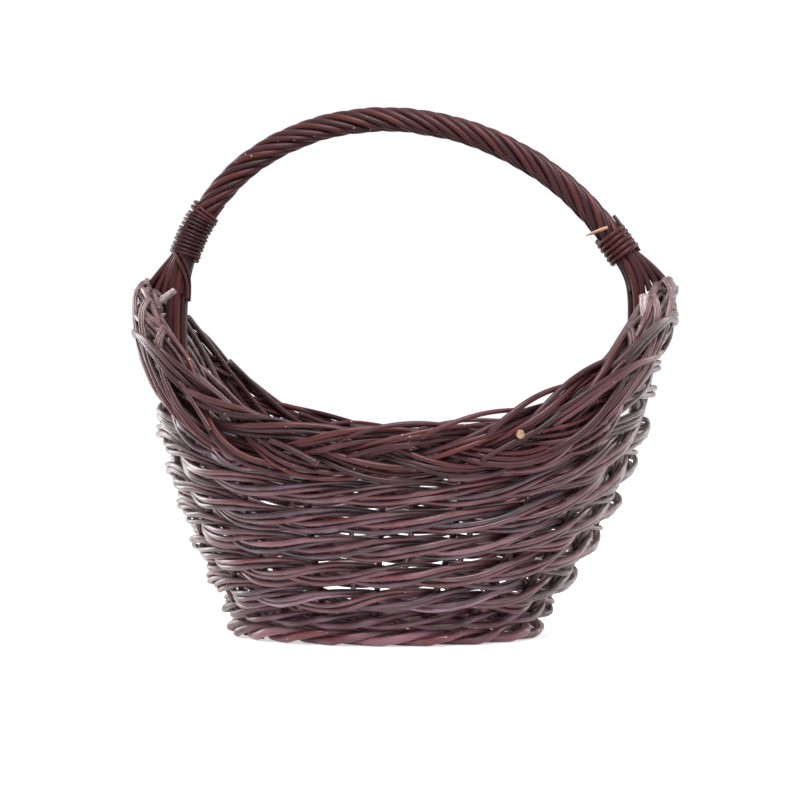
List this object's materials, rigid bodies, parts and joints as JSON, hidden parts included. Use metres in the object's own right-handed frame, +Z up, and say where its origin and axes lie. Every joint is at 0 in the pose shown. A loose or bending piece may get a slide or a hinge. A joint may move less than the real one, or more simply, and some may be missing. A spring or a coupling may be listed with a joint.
{
  "type": "firewood basket",
  "caption": "Flared oval wicker basket of doubled rods waled round uprights, with a plaited border that climbs to both ends and a roped bow handle lashed at its feet, for carrying firewood.",
  "frame": {"origin": "centre of the bounding box seen from above, on the ground under the foot", "axes": "+X along the basket's length towards the right end, +Y towards the back across its width, +Z up"},
  "size_m": [0.4776, 0.3482, 0.4634],
  "materials": {
    "stake": "satin",
    "foot": "satin",
    "wale": "satin",
    "border": "satin",
    "handle": "satin",
    "lashing": "satin",
    "base": "satin"
  },
  "bodies": {
    "root": {"base_long_stick_1": "base", "base_long_stick_2": "base", "base_cross_stick_1": "base", "base_cross_stick_2": "base", "base_cross_stick_3": "base", "base_weaver_1": "base", "base_weaver_2": "base", "foot_wale_strand_1": "foot", "foot_wale_strand_2": "foot", "foot_wale_strand_3": "foot", "upsett_wale_strand_1": "foot", "upsett_wale_strand_2": "foot", "upsett_wale_strand_3": "foot", "wale_1_strand_1": "wale", "wale_1_strand_2": "wale", "wale_1_strand_3": "wale", "wale_2_strand_1": "wale", "wale_2_strand_2": "wale", "wale_2_strand_3": "wale", "wale_3_strand_1": "wale", "wale_3_strand_2": "wale", "wale_3_strand_3": "wale", "wale_4_strand_1": "wale", "wale_4_strand_2": "wale", "wale_4_strand_3": "wale", "wale_5_strand_1": "wale", "wale_5_strand_2": "wale", "wale_5_strand_3": "wale", "end_packing_right": "wale", "end_packing_left": "wale", "stake_1": "stake", "stake_2": "stake", "stake_3": "stake", "stake_4": "stake", "stake_5": "stake", "stake_6": "stake", "stake_7": "stake", "stake_8": "stake", "stake_9": "stake", "stake_10": "stake", "stake_11": "stake", "stake_12": "stake", "stake_13": "stake", "stake_14": "stake", "stake_15": "stake", "stake_16": "stake", "stake_17": "stake", "stake_18": "stake", "stake_19": "stake", "stake_20": "stake", "border_strand_1": "border", "border_strand_2": "border", "border_strand_3": "border", "handle_bow": "handle", "roping_pair_1": "handle", "roping_pair_2": "handle", "roping_pair_3": "handle", "roping_pair_4": "handle", "lashing_left": "lashing", "lashing_right": "lashing"}
  },
  "joints": []
}
